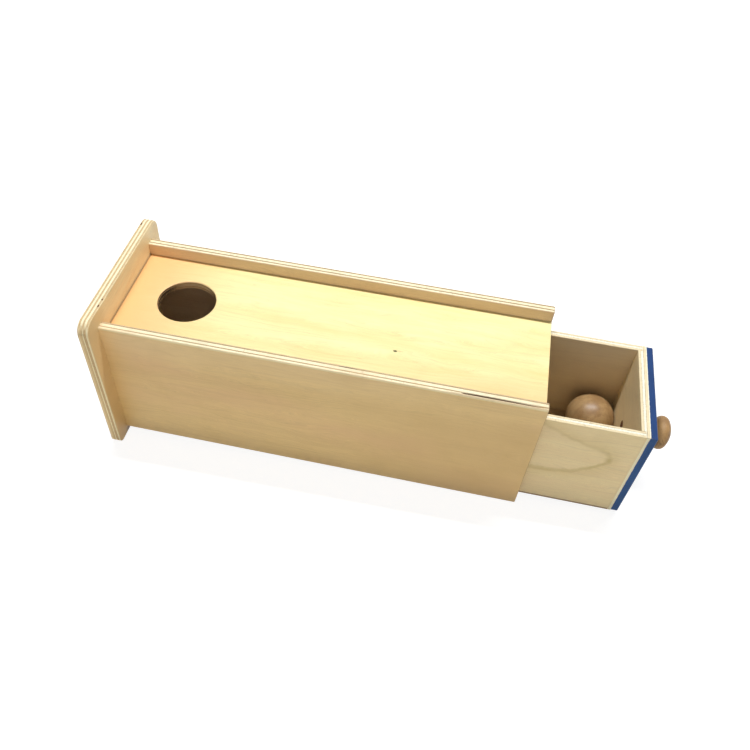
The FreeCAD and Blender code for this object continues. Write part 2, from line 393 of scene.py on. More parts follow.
def solid_plywood():
    """Plywood all the way through: crossed plies with figure, fibres, end grain and glue lines."""
    g, i = new_group("Solid Plywood", {
        "Position": VECTOR, "Normal": VECTOR, "Thickness": 6.0, "Outer Veneer": 0.9, "Plies": 5.0,
        "Cross Share": 1.0, "Seed": 0.0, "Veneer": srgb(240, 210, 155),
        "Shade": srgb(220, 180, 125), "Long Grain": srgb(250, 240, 205),
        "Cross Ply": srgb(190, 170, 125), "Glue": srgb(150, 124, 82), "Figure": 1.0,
    })
    x, y, z = g.parts(i["Position"])
    nx, ny, nz = g.parts(i["Normal"])
    ply, off = ply_at(z, i)
    # grain runs along X in the outer plies and along Y in the crossed ones
    crossed = ply % 2
    along = g.mix_value(crossed, x, y)
    across = g.mix_value(crossed, y, x)
    facing = g.mix_value(crossed, nx, ny)
    end_grain = (facing * facing).ramp(0.15, 0.7)
    shift = ply * 37.7 + i["Seed"]

    def grained(lengthwise, crosswise, **look):
        """Noise drawn out along the grain and different in each ply."""
        return g.noise(g.joined(along * lengthwise, crosswise, shift), **look)

    # figure, streaks, fibres, pores and long thin lines
    broad = grained(0.009, across * 0.055, detail=3, roughness=0.55, distortion=0.4)
    bent = across + broad * 26
    streak = grained(0.02, bent * 0.42, detail=4, roughness=0.6)
    fibre = grained(0.16, bent * 4.2, detail=3, roughness=0.65)
    pore = grained(0.5, across * 7.5, detail=1).ramp(0.66, 0.74)
    line = grained(0.006, bent * 0.95, roughness=0.7).ramp(0.5, 0.68, 0, -0.075)
    tone = broad.ramp(0.36, 0.66, 0, 0.62) + streak.ramp(0.4, 0.68, 0, 0.38)
    tone = g.math("MULTIPLY", tone, i["Figure"], clamp=True)
    face = g.mix(tone, i["Veneer"], i["Shade"])
    # end grain: open, speckled and darker
    speck = g.noise(i["Position"] * 3.4, detail=3, roughness=0.7)
    rays = g.noise(g.joined(along * 0.6, across * 1.5, z * 0.5))
    end_tone = speck.ramp(0.3, 0.7, 0.86, 1.12) + rays.ramp(0.3, 0.7, -0.09, 0.09)
    outer = g.least(ply, i["Plies"] - 1 - ply) < 0.5
    on_face = (nz * nz).ramp(0.1, 0.6)
    edge = g.mix(tone * 0.25, i["Long Grain"], i["Shade"])
    base = g.mix(end_grain, g.mix(outer * on_face, edge, face),
                 g.shaded(i["Cross Ply"], end_tone))
    base = g.shaded(base, 1 + ((fibre - 0.5) * 0.34 + line))
    # glue lines show only on sawn edges
    broken = g.noise(i["Position"] * 0.35).ramp(0.25, 0.6, 0.35, 1)
    glue = off.fade(0.05, 0.16) * (broken * 0.85)
    base = g.coated(base, (pore * 0.22, i["Glue"]), (glue, i["Glue"]))
    height = fibre * 0.5 + pore * -0.5 + speck * end_grain * 1.4 - glue * 0.8
    return g.give(Color=base, Roughness=end_grain * 0.16 + fibre * 0.12, Height=height)


def turned_grain():
    """Close-grained turned wood: growth rings cut by the curve, short flecks and lathe lines."""
    g, i = new_group("Turned Grain", {
        "Position": VECTOR, "Axis Position": 0.0, "Wood": srgb(210, 165, 120),
        "Fleck Color": srgb(150, 100, 62), "Seed": 0.0,
    })
    position = i["Position"]
    _, y, z = g.parts(position)
    wander = g.noise(position * (0.02, 0.06, 0.06) + g.joined(i["Seed"], 0, 0))
    # rings about a pith well outside the piece
    ring = g.math("SQRT", (y + 30) ** 2 + (z + 18) ** 2)
    wave = g.math("PINGPONG", ring * 0.55 + wander * 2.4, 1)
    fibre = g.noise(position * (0.25, 3.2, 3.2), detail=3, roughness=0.6)
    fleck = g.noise(position * (0.4, 3.4, 1.8), detail=1).ramp(0.62, 0.7)
    blotch = g.noise(position * 0.11, detail=3, roughness=0.6)
    tone = wave.ramp(0.4, 1, 0, 0.11) + blotch.ramp(0.36, 0.68, 0, 0.45)
    base = g.mix(tone, i["Wood"], i["Fleck Color"])
    base = g.shaded(base, fibre.ramp(0.3, 0.7, 0.92, 1.07))
    base = g.mix(fleck * 0.6, base, i["Fleck Color"])
    lathe = g.math("SINE", i["Axis Position"] * 9)
    return g.give(Color=base, Roughness=fleck * 0.1 + blotch * 0.12,
                  Height=lathe * 0.12 + (fibre * 0.4 - fleck * 0.5))


def handling():
    """Marks of use on any finish: faint smears that change the gloss and slightly darken."""
    g, i = new_group("Handling", {
        "Position": VECTOR, "Color": (0.8, 0.8, 0.8), "Amount": 0.5, "Seed": 0.0,
    })
    where = i["Position"] + g.joined(i["Seed"], i["Seed"], 0)
    smear = g.noise(where * 0.035, detail=4, roughness=0.6, distortion=0.8).ramp(0.45, 0.72)
    specks = g.noise(where * 0.9).ramp(0.74, 0.8)
    dark = (smear * 0.05 + specks * 0.12) * i["Amount"]
    return g.give(Color=g.shaded(i["Color"], 1 - dark), Roughness=smear * (i["Amount"] * 0.14))


def arris_mask():
    """1 along a board's arrises, broken up as hands and sandpaper leave them."""
    g, i = new_group("Arris", {
        "Position": VECTOR, "Size": Vector((100.0, 100.0, 6.0)), "Width": 0.7,
    })
    a, b, c = g.parts(abs(g.least(i["Position"], i["Size"] - i["Position"])))
    second = g.most(g.least(a, b), g.least(g.most(a, b), c))
    broken = g.noise(i["Position"] * 0.22, detail=3).ramp(0.35, 0.65, 0.15, 1)
    return g.give(Mask=second.fade(0, i["Width"]) * broken)


SHADER_GROUPS = {"Arris": arris_mask, "Solid Plywood": solid_plywood,
                 "Turned Grain": turned_grain, "Handling": handling}


def placed(g, name, inputs):
    """The shared group of that name placed in a material; returns its outputs by name."""
    node = g.tree.nodes.new("ShaderNodeGroup")
    node.node_tree = bpy.data.node_groups.get(name) or SHADER_GROUPS[name]()
    for title, value in inputs.items():
        g.put(node.inputs[title], value)
    return {socket.name: Wire(g, socket) for socket in node.outputs}


def new_material(name):
    """An empty node material and its graph."""
    material = bpy.data.materials.new(name)
    material.use_nodes = True
    material.node_tree.nodes.clear()
    return material, Graph(material.node_tree)


def surface(g, base, roughness, even, height, strength, more=()):
    """Ends a material: a Principled BSDF with its colour, roughness, bump and further inputs."""
    bump = g.add("ShaderNodeBump", {
        "Strength": strength, "Distance": BUMP_DEPTH, "Height": height})
    shader = g.add("ShaderNodeBsdfPrincipled", {
        "Base Color": base, "Roughness": g.math("ADD", roughness, even, clamp=True),
        "Normal": bump, **dict(more)})
    g.add("ShaderNodeOutputMaterial", {"Surface": shader})


def lined_up(g, vector, order):
    parts = g.parts(vector)
    return g.joined(*(parts[axis] for axis in order))


def board_material(c, name, node, axis, grain, make_up, colours, seed, figure, marks):
    """Plywood for one board, with its plies and grain lined up to the board's own box.

    marks(g, c, position, normal, base) may draw a board's own marks over the wood; its
    position is in millimetres along the grain, across it and through the board."""
    plies, veneer, share = make_up
    low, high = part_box(node)
    size = (high - low) / MM
    order = grain, 3 - axis - grain, axis
    material, g = new_material(name)
    local = lined_up(g, (g.object_place() - low) * (1 / MM), order)
    normal = g.add("ShaderNodeVectorTransform", {
        0: g.add("ShaderNodeNewGeometry", output="Normal")}, vector_type="NORMAL",
        convert_from="WORLD", convert_to="OBJECT")
    normal = lined_up(g, normal, order)
    wood = placed(g, "Solid Plywood", {
        "Position": local, "Normal": normal, "Thickness": (high - low)[axis] / MM,
        "Outer Veneer": veneer / MM, "Plies": plies, "Cross Share": share, "Seed": seed,
        "Figure": figure,
        **dict(zip(("Veneer", "Shade", "Long Grain", "Cross Ply", "Glue"), colours))})
    base = marks(g, c, local, normal, wood["Color"]) if marks else wood["Color"]
    arris = placed(g, "Arris", {"Position": local, "Size": [size[a] for a in order]})
    # the gaps are dark partly from their own glue and partly from painted shade deep inside them
    opened = g.add("ShaderNodeAttribute", output="Fac", attribute_name="gap")
    opened = opened.ramp(0.15, 0.55)
    base = g.coated(base, (arris["Mask"] * 0.16, colours[-1]), (opened, c.gap))
    used = placed(g, "Handling", {
        "Position": local, "Color": base, "Amount": 0.6, "Seed": seed * 3.1})
    surface(g, used["Color"], wood["Roughness"] + used["Roughness"], 0.4, wood["Height"], 0.35, {
        "Specular IOR Level": g.mix_value(opened, 0.5, 0.02),
        "Coat Weight": g.mix_value(opened, 0.06, 0), "Coat Roughness": 0.35})
    return material


# ---- geometry nodes


def form(g, i, shaped):
    """Ends a form tree: what was shaped is made real and takes its material."""
    g.tree.is_modifier = True
    real = g.add("GeometryNodeRealizeInstances", {"Geometry": shaped})
    return g.give(Geometry=g.add("GeometryNodeSetMaterial", {
        "Geometry": real, "Material": i["Material"]}))


def ply_relief():
    """Sinks the glue lines and roughens the crossed plies of a board's sawn edges."""
    g, i = new_group("Ply Relief", {
        "Geometry": GEOMETRY, "Axis": AXES[1], "Start": 0.0, "Thickness": 0.006,
        "Outer Veneer": 0.0009, "Plies": 5, "Cross Share": 1.0, "Glue Width": 0.00014,
        "Glue Depth": 0.00007, "Cross Depth": 0.00004, "Edge Roughness": 0.00005, "Seed": 1,
        "Material": MATERIAL,
    }, "GeometryNodeTree")
    position = g.add("GeometryNodeInputPosition")
    ply, off = ply_at(g.math("DOT_PRODUCT", position, i["Axis"]) - i["Start"], i)
    glue = off.ramp(0, i["Glue Width"] * 0.5, 1, 0, smooth=False)
    seed = i["Seed"] * 13.7
    uneven = g.noise(position * 420 + g.joined(seed, seed, seed))
    depth = (glue * i["Glue Depth"]
             + (ply % 2) * (i["Cross Depth"] + uneven * i["Edge Roughness"]))
    sawn = g.add("GeometryNodeInputNamedAttribute", {"Name": "sawn_edge"}, data_type="FLOAT")
    return form(g, i, g.add("GeometryNodeSetPosition", {
        "Geometry": i["Geometry"],
        "Offset": g.add("GeometryNodeInputNormal") * -(depth * sawn)}))


def turned_form():
    """Turns a profile, a line in the XZ plane with its distance from the X axis as Z."""
    g, i = new_group("Turned Form", {
        "Geometry": GEOMETRY, "Centre": Vector(), "Segments": 96, "Points": 120,
        "Ring Pitch": 0.0011, "Ring Depth": 0.00001, "Seed": 1, "Material": MATERIAL,
    }, "GeometryNodeTree")
    profile = g.add("GeometryNodeMeshToCurve", {"Mesh": i["Geometry"]})
    grid = g.add("GeometryNodeMeshGrid", {
        "Vertices X": i["Points"], "Vertices Y": i["Segments"] + 1}, "Mesh")
    gx, gy, _ = g.parts(g.add("GeometryNodeInputPosition"))
    px, _, radius = g.parts(g.add("GeometryNodeSampleCurve", {
        "Curves": profile, "Factor": gx + 0.5}, "Position", mode="FACTOR"))
    # the gouge leaves uneven rings, none at the poles
    wander = g.noise(g.joined(px * 900 + i["Seed"] * 7.3, 0, 0), detail=1)
    ring = g.math("SINE", px / i["Ring Pitch"] * math.tau + wander * 3)
    radius = radius - (ring + 1) * radius.ramp(0, 0.002) * (i["Ring Depth"] * 0.5)
    angle = (gy + 0.5) * math.tau
    turned = g.joined(px, radius * g.math("COSINE", angle), radius * g.math("SINE", angle))
    shaped = g.add("GeometryNodeSetPosition", {
        "Geometry": grid, "Position": turned + i["Centre"]})
    closed = g.add("GeometryNodeMergeByDistance", {"Geometry": shaped, "Distance": TINY})
    return form(g, i, g.add("GeometryNodeSetShadeSmooth", {"Geometry": closed}))


FORM_TREES = {"Ply Relief": ply_relief, "Turned Form": turned_form}


def shaped_by(tree_name, obj, inputs):
    """Runs a form tree on an object and keeps the result as its plain mesh."""
    tree = bpy.data.node_groups.get(tree_name) or FORM_TREES[tree_name]()
    modifier = obj.modifiers.new(tree_name, "NODES")
    modifier.node_group = tree
    sockets = {s.name: s.identifier for s in tree.interface.items_tree
               if s.item_type == "SOCKET" and s.in_out == "INPUT"}
    for name, value in inputs.items():
        modifier[sockets[name]] = value
    keep_evaluated(obj)


def keep_evaluated(obj):
    """Replaces an object's mesh by its evaluated one and removes its modifiers."""
    bpy.context.view_layer.update()
    evaluated = obj.evaluated_get(bpy.context.evaluated_depsgraph_get())
    mesh = bpy.data.meshes.new_from_object(evaluated)
    obj.modifiers.clear()
    old, obj.data = obj.data, mesh
    mesh.name = obj.name
    bpy.data.meshes.remove(old)


# ---- shapes


def new_object(name, bm):
    """A scene object at the origin from a bmesh, which is freed."""
    mesh = bpy.data.meshes.new(name)
    bm.to_mesh(mesh)
    bm.free()
    obj = bpy.data.objects.new(name, mesh)
    bpy.context.scene.collection.objects.link(obj)
    return obj


def merged_copy(node):
    """A CAD node's mesh as a bmesh with its points merged and its flats made whole."""
    bm = bmesh.new()
    bm.from_mesh(NODES[node].data)
    bmesh.ops.remove_doubles(bm, verts=bm.verts, dist=1e-6)
    bmesh.ops.dissolve_limit(bm, angle_limit=math.radians(0.2), verts=bm.verts, edges=bm.edges)
    bm.normal_update()
    return bm


def cut(bm, faces, axis, at):
    """Cuts those of a set of faces that cross a plane square to an axis; returns the new set."""
    crossing = set()
    for f in faces:
        along = [v.co[axis] for v in f.verts]
        if min(along) < at - TINY and max(along) > at + TINY:
            crossing.add(f)
    if not crossing:
        return faces
    geometry = (list(crossing) + list({e for f in crossing for e in f.edges})
                + list({v for f in crossing for v in f.verts}))
    result = bmesh.ops.bisect_plane(bm, geom=geometry, dist=TINY, plane_no=AXES[axis],
                                    plane_co=AXES[axis] * at)
    return faces | {f for f in result["geom"] if isinstance(f, bmesh.types.BMFace)}


def sawn_faces(bm, low, high, axis, reach, also):
    """Faces of a board's outer edges, square to its broad faces, and others also asked for."""
    found = set()
    for f in bm.faces:
        if abs(f.normal[axis]) > 0.5:
            continue
        centre = f.calc_center_median()
        side = max((a for a in range(3) if a != axis), key=lambda a: abs(f.normal[a]))
        limit = high[side] if f.normal[side] > 0 else low[side]
        if abs(centre[side] - limit) < reach or (also and also(centre)):
            found.add(f)
    return found


def set_smooth(mesh):
    """Smooth shading with sharp edges kept."""
    bm = bmesh.new()
    bm.from_mesh(mesh)
    for f in bm.faces:
        f.smooth = True
    for e in bm.edges:
        e.smooth = len(e.link_faces) == 2 and e.calc_face_angle(0) < SMOOTH_UNDER
    bm.to_mesh(mesh)
    bm.free()


Gap = namedtuple("Gap", "along start end through width depth lean")
GAP_STEPS = 6  # cuts along a gap


def ply_gap(along, start, end, through, width, depth, lean=1):
    """A gap in an inner ply, in millimetres: it runs along an axis at a depth in the board.

    Below 1, lean moves its widest place towards its start."""
    return Gap(along, *(value * MM for value in (start, end, through, width, depth)), lean)


PLATE_GAPS = (ply_gap(1, 43.2, 45.8, 1.1, 0.9, 0.5), ply_gap(1, -30.2, -28.4, 5.9, 0.9, 0.5),
              ply_gap(1, -36.2, -34, 5.9, 0.9, 0.5))
LEFT_PANEL_GAPS = (ply_gap(0, 84, 133.4, 1.6, 1.3, 1.3, lean=0.5),
                   ply_gap(0, 11.7, 24, 4.75, 0.4, 0.3))


def open_gap(bm, gap, axis, low, high, opened):
    """Sinks a groove along the board's upper edge where a gap is."""
    for v in bm.verts:
        share = (v.co[gap.along] - gap.start) / (gap.end - gap.start)
        off = abs(v.co[axis] - low[axis] - gap.through) / (gap.width / 2)
        if 0 < share < 1 and off < 1 and high.z - v.co.z < EDGE_SKIN:
            fullness = math.sin(math.pi * share ** gap.lean) ** 0.6 * (1 - off ** 2)
            v.co.z -= gap.depth * fullness
            v[opened] = fullness


def make_up(ply, kind):
    """Plies, outer veneer and the share that crossed plies keep, for a kind of board."""
    return {
        "casing": (ply.casing_plies, ply.casing_veneer, ply.casing_cross),
        "plate": (ply.plate_plies, ply.plate_veneer, ply.plate_cross),
        "drawer": (ply.drawer_plies, ply.drawer_veneer, 1.0),
        "tunnel floor": (ply.thin_plies, ply.thin_veneer, 1.0),
        "drawer floor": (ply.thin_plies, ply.thin_veneer * 0.9, 1.0),
    }[kind]


def make_board(context, node, piece, axis, kind, material, seed, reach=1.2 * MM, also=None,
               gaps=()):
    """One plywood board from its CAD node: plies cut into its sawn edges, gaps, relief, finish."""
    ply = context.scene.ballbox_plywood
    plies, veneer, share = make_up(ply, kind)
    low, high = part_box(node)
    thickness = high[axis] - low[axis]
    bm = merged_copy(node)
    faces = sawn_faces(bm, low, high, axis, reach, also)
    inner = (thickness - 2 * veneer) / (plies - 2)
    half = ply.glue_width / 2
    for k in range(plies - 1):
        line = veneer + (k if k % 2 else k + 1 - share) * inner
        for stop in (line - half, line, line + half):
            faces = cut(bm, faces, axis, low[axis] + stop)
    for other in (a for a in range(3) if a != axis):
        span = high[other] - low[other]
        count = round(span / ply.edge_step)
        for k in range(1, count):
            faces = cut(bm, faces, other, low[other] + span * k / count)
    for gap in gaps:
        for k in range(GAP_STEPS + 1):
            at = gap.start + (gap.end - gap.start) * k / GAP_STEPS
            faces = cut(bm, faces, gap.along, at)
        for side in (-0.5, -0.25, 0, 0.25, 0.5):
            faces = cut(bm, faces, axis, low[axis] + gap.through + side * gap.width)
    sawn = bm.verts.layers.float.new("sawn_edge")
    opened = bm.verts.layers.float.new("gap")
    for v in {v for f in faces for v in f.verts}:
        v[sawn] = 1
    for gap in gaps:
        open_gap(bm, gap, axis, low, high, opened)
    obj = new_object(piece, bm)
    shaped_by("Ply Relief", obj, {
        "Axis": AXES[axis], "Start": low[axis], "Thickness": thickness, "Outer Veneer": veneer,
        "Plies": plies, "Cross Share": share, "Glue Width": ply.glue_width,
        "Glue Depth": ply.glue_depth, "Cross Depth": ply.cross_depth,
        "Edge Roughness": ply.edge_roughness, "Seed": seed, "Material": material})
    set_smooth(obj.data)
    obj.modifiers.new("Flat faces stay flat", "WEIGHTED_NORMAL").keep_sharp = True
    keep_evaluated(obj)
    return obj


def settle(obj, node, body):
    """The piece stands for a CAD node, which is hidden, and moves with its body."""
    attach(obj, body)
    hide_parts(node)


def plywood(context, node, piece, name, body, axis, grain, kind, colours, seed,
            relief_seed=None, figure=1, marks=None, **shape):
    """A plywood board with its own material, settled on its body.

    It is laid out by the axis through it and the axis of its face grain."""
    scene = context.scene
    material = board_material(scene.ballbox_colours, name + " plywood", node, axis, grain,
                              make_up(scene.ballbox_plywood, kind), colours, seed, figure,
                              marks)
    board = make_board(context, node, piece, axis, kind, material, relief_seed or seed, **shape)
    settle(board, node, body)


def arc(centre, radius, start, end, count):
    """Points of an arc in a profile, angles in radians from the axis."""
    return [(centre[0] + radius * math.cos(a), centre[1] + radius * math.sin(a))
            for a in (start + (end - start) * k / count for k in range(count + 1))]


def arc_through(a, b, c, count):
    """Points of the arc from a through b to c."""
    (ax, ay), (bx, by), (cx, cy) = a, b, c
    d = 2 * (ax * (by - cy) + bx * (cy - ay) + cx * (ay - by))
    aa, bb, cc = ax * ax + ay * ay, bx * bx + by * by, cx * cx + cy * cy
    ux = (aa * (by - cy) + bb * (cy - ay) + cc * (ay - by)) / d
    uy = (aa * (cx - bx) + bb * (ax - cx) + cc * (bx - ax)) / d
    start, middle, end = (math.atan2(y - uy, x - ux) for x, y in (a, b, c))
    while middle < start:
        middle += math.tau
    while end < start:
        end += math.tau
    if not start <= middle <= end:
        end -= math.tau
    return arc((ux, uy), math.hypot(ax - ux, ay - uy), start, end, count)


def turn(context, node, piece, body, points, centre, wood, even, profile, seed):
    """A piece turned from a profile of (along, radius) points, lacquered and settled.

    points is how many the profile gets; even is the lacquer's own roughness."""
    t, c = context.scene.ballbox_turned, context.scene.ballbox_colours
    material, g = new_material(piece + " wood")
    spun = g.add("ShaderNodeMapping", {
        "Vector": g.object_place() - centre,
        "Rotation": (seed * 0.7, seed * 1.3, seed * 0.4)}, vector_type="POINT")
    local = spun * (1 / MM)
    grain = placed(g, "Turned Grain", {
        "Position": local, "Axis Position": g.parts(local)[0], "Wood": wood,
        "Fleck Color": c.fleck, "Seed": seed})
    used = placed(g, "Handling", {
        "Position": local, "Color": grain["Color"], "Amount": 1, "Seed": seed})
    surface(g, used["Color"], grain["Roughness"] + used["Roughness"], even, grain["Height"], 0.25)
    bm = bmesh.new()
    verts = [bm.verts.new((x, 0, r)) for x, r in profile]
    for pair in zip(verts, verts[1:]):
        bm.edges.new(pair)
    obj = new_object(piece, bm)
    shaped_by("Turned Form", obj, {
        "Centre": centre, "Segments": t.segments, "Points": points, "Ring Pitch": t.ring_pitch,
        "Ring Depth": t.ring_depth, "Seed": seed, "Material": material})
    settle(obj, node, body)


# ---- marks of single boards


def soft_spot(position, centre, radii):
    """1 at a point of the board's face, fading out to 0 at its two radii."""
    g = position.graph
    x, y, _ = g.parts(position)
    u, v = (x - centre[0]) / radii[0], (y - centre[1]) / radii[1]
    return g.math("SQRT", u * u + v * v).fade(0, 1)


def wavered(position, scale, amount):
    """The position pushed about by slow noise, so that a mark is not drawn with a ruler."""
    push = position.graph.noise(position, scale, output="Color")
    return position + (push - (0.5, 0.5, 0.5)) * amount


def top_panel_marks(g, c, position, normal, base):
    """Warmer, darker wood towards the plate, partly painted shade, a warm streak along the middle,
    one small knot, and painted shade in the seam and on the hole's wall.
    """
    bent = wavered(position, 0.03, 16)
    x, y, _ = g.parts(bent)
    # warmer and darker towards the plate: partly the wood's tone, partly painted shade where the
    # light falls off
    warm = x.fade(-6, 84)
    near_edge = y.fade(0, 38, 0.75) * x.ramp(150, 250, 0.35, 1)
    drift = y - 39 - (x - 65) * -0.045
    streak = abs(drift).fade(0, 7, 0.5) * x.ramp(50, 100)
    # the grain parts round the knot, which has a short tail
    halo = soft_spot(bent, (176, 28.8), (15, 4.5))
    tail = soft_spot(wavered(position, 0.5, 1), (177.2, 29), (4, 0.7))
    knot = soft_spot(wavered(position, 0.8, 0.8), (174.6, 28.5), (1.9, 1.1))
    faint = soft_spot(position, (154.8, 17.3), (3, 1))
    # painted shade in the seam beside the plate
    seam_shade = g.parts(position)[0].fade(0.4, 1.3, 0.65)
    # painted shade on the hole's wall where it faces along the panel
    along, _, up = g.parts(normal)
    sawn = ((along * along).ramp(0.1, 0.8) * (x.ramp(8, 12) * x.fade(200, 220))
            * abs(up).fade(0.5, 0.8, 0.97))
    return g.coated(base, (g.most(warm, near_edge), c.top_warm_and_shade), (streak, c.top_shade),
                    (halo * 0.22, c.top_shade), (tail * 0.4, c.casing_cross),
                    (knot.ramp(0.1, 0.5), c.knot), (faint * 0.35, c.near_shade),
                    (seam_shade, c.glue), (sawn, c.hole_wall_shade))


def left_panel_marks(g, c, position, normal, base):
    """Blushed, browner low down and towards the mouth, with painted light above and painted shade
    by the plate, a darker inner arris and long faint lines.
    """
    bent = wavered(position, 0.05, 9)
    x, y, _ = g.parts(bent)
    _, height, through = g.parts(position)
    _, up, inward = g.parts(normal)
    outer, upper = inward.ramp(-0.5, -0.9), up.ramp(0.5, 0.9)
    blush = g.noise(bent * (0.006, 0.02, 0.02), detail=3)
    # browner low down and towards the mouth; by the plate this is partly a stain and partly painted
    # shade where the panel meets it
    brown_and_shade = g.most(x.fade(0, 30, 0.34), x.ramp(120, 235, 0, 0.6) * y.fade(60, 92),
                   y.fade(4, 30, 0.16))
    # painted light: the outer face is lighter towards its upper edge
    light = y.ramp(66, 92, 0, 0.45) * x.ramp(150, 230, 1, 0.3)
    line = g.noise(g.joined(x * 0.006, y * 0.16, 3))
    # on the upper edge, the inner arris is drawn darker and the outer ply browner by the gap
    dark_inner_arris = upper * through.ramp(5, 5.5, 0, 0.62)
    lip = upper * through.fade(0.9, 1.3, 0.6) * x.ramp(206, 214)
    return g.coated(base, (blush.ramp(0.42, 0.66, 0, 0.6), c.near_blush),
                    (brown_and_shade * outer, c.near_shade), (light * outer, c.near_painted_light),
                    (height.ramp(93, 94.4, 0, 0.8) * outer, c.casing_core),
                    (abs(line - 0.5).fade(0, 0.03, 0.2), c.near_shade),
                    (dark_inner_arris, c.glue), (lip, c.casing_cross),
                    (inward.ramp(0.5, 0.9, 0, 0.8), c.inner_veneer))


def right_panel_marks(g, c, position, normal, base):
    """The outer face is yellower, near the other panel's tone."""
    yellower = g.mix(1, base, (1, 1, 0.76), "MULTIPLY")
    return g.mix(g.parts(normal)[2].ramp(0.5, 0.9), base, yellower)


def shaded_inside(g, tone, normal, way, base):
    """Painted shade on the face that looks into the drawer: a darker, duller tone; way is that
    face's side.
    """
    inside = (g.parts(normal)[2] * way).ramp(0.5, 0.9, 0, 0.85)
    return g.mix(inside, base, g.mix(0.3, tone, base))


def left_wall_marks(g, c, position, normal, base):
    """Growth lines that rise to a rounded tip, as where a veneer is peeled through a log's taper.

    The main line is |y - middle| = spread * u ** (1 / power), u being the way back from the tip."""
    tip_x, spread, power = 244.6, 3.74, 2.17
    x, y, _ = g.parts(wavered(wavered(position, 0.09, 5), 0.35, 1.6))
    u = tip_x - x
    # the middle falls behind the tip and rises far from it
    middle = u.ramp(0, 18, 50.2, 47.2) + (g.most(u, 0) / 44) ** 3 * 3.6
    reach = abs(y - middle) / spread
    slope = reach ** (power - 1) * (power / spread)
    off = (reach ** power - u) / g.math("SQRT", 1 + slope * slope)
    fade = x.ramp(60, 190, 0.25, 1) * g.noise(position * 0.06).ramp(0.3, 0.7, 0.72, 1)
    lower = y.fade(46, 54)
    core = abs(off).fade(0, 3.4) * g.mix_value(lower, 0.46, 0.62)
    outside = off.fade(0, 10, 0.26) * (off > 0)
    second = abs(off - 4.6).fade(0, 0.9, 0.3) * lower * x.fade(205, 222)
    tip = soft_spot(position, (244.8, 49.2), (4, 7)) * 0.75
    pale = off.ramp(-12, -0.5, 0, 0.3) * (off < 0)
    # painted shade along the wall's lower arris
    arris = g.parts(position)[1].fade(0.9, 1.9, 0.95)
    base = g.coated(base, (pale * fade, c.drawer_edge),
                    (g.most(core, outside, second, tip) * fade * 0.75, c.drawer_growth),
                    (arris, c.glue))
    return shaded_inside(g, c.drawer_inside_shade, normal, 1, base)


def right_wall_marks(g, c, position, normal, base):
    return shaded_inside(g, c.drawer_inside_shade, normal, -1, base)


def drawer_floor_marks(g, c, position, normal, base):
    return shaded_inside(g, c.drawer_bottom_shade, normal, 1, base)


def end_wall_marks(g, c, position, normal, base):
    """The end wall's own ends show plain wood with a pale band towards the drawer's outside."""
    ends = abs(g.parts(normal)[0]).ramp(0.6, 0.8)
    grain = g.noise(position * (1, 0.05, 1.6), detail=3)
    plain = g.coated(c.drawer_veneer, (grain.ramp(0.35, 0.65, 0.1, 0.5), c.drawer_shade),
                     (g.parts(position)[2].ramp(2.9, 3.4, 0, 0.9), c.drawer_core))
    return g.mix(ends, base, plain)


def plate_marks(g, c, position, normal, base):
    """Sides even in tone at the back and pale by the inner face; that face has painted shade below
    and is warmer near, partly painted shade.
    """
    x, y, through = g.parts(position)
    sideways, _, inward = g.parts(normal)
    side, face = abs(sideways).ramp(0.5, 0.9), inward.ramp(0.5, 0.9)
    # dust and shade where the casing's underside meets the foot
    under = face * y.fade(3, 5.5, 0.7) * (x.ramp(8, 13) * x.fade(97, 102))
    return g.coated(base, (side * through.fade(2.2, 3.4, 0.6), c.plate_shade),
                    (side * through.ramp(5.6, 6.1, 0, 0.85), c.casing_core),
                    # the near strip is warmer, partly the wood's tone and partly painted shade; low
                    # down the face gets painted shade
                    (face * x.fade(12, 26, 0.85), c.plate_warm_and_shade),
                    (face * y.fade(0, 60, 0.5), c.near_shade), (under, c.gap))


def blue_paint(c):
    """Brushed paint, thin on the arrises and bare along the joint."""
    low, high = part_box("drawer_face")
    material, g = new_material("Blue paint")
    local = g.object_place() * (1 / MM)
    inside = local - low / MM
    tone = g.noise(local * 0.06, detail=3).ramp(0.35, 0.7, 0.93, 1.1)
    base = g.shaded(c.paint, tone)
    # painted shade: the upward faces of the paint are darker
    _, sideways, up = g.parts(g.add("ShaderNodeNewGeometry", output="Normal"))
    shaded_top = g.mix(1, base, (1, 0.64, 0.66), "MULTIPLY")
    arris = placed(g, "Arris", {"Position": inside, "Size": (high - low) / MM, "Width": 0.6})
    # the brush stops short of the joint, less so on the near side
    edge = (g.parts(inside)[0] + g.noise(local * 0.5) * 0.5
            + sideways.ramp(-0.5, -0.9, 0, 0.45))
    base = g.coated(base, (up.ramp(0.5, 0.9), shaded_top), (arris["Mask"] * 0.16, c.drawer_edge),
                    (edge.fade(0.78, 0.86), c.drawer_core))
    used = placed(g, "Handling", {"Position": local, "Color": base, "Amount": 1, "Seed": 5})
    surface(g, used["Color"], used["Roughness"], 0.42, g.noise(local * 0.9), 0.25,
            {"Specular IOR Level": 0.2})
    return material


# ---- operators


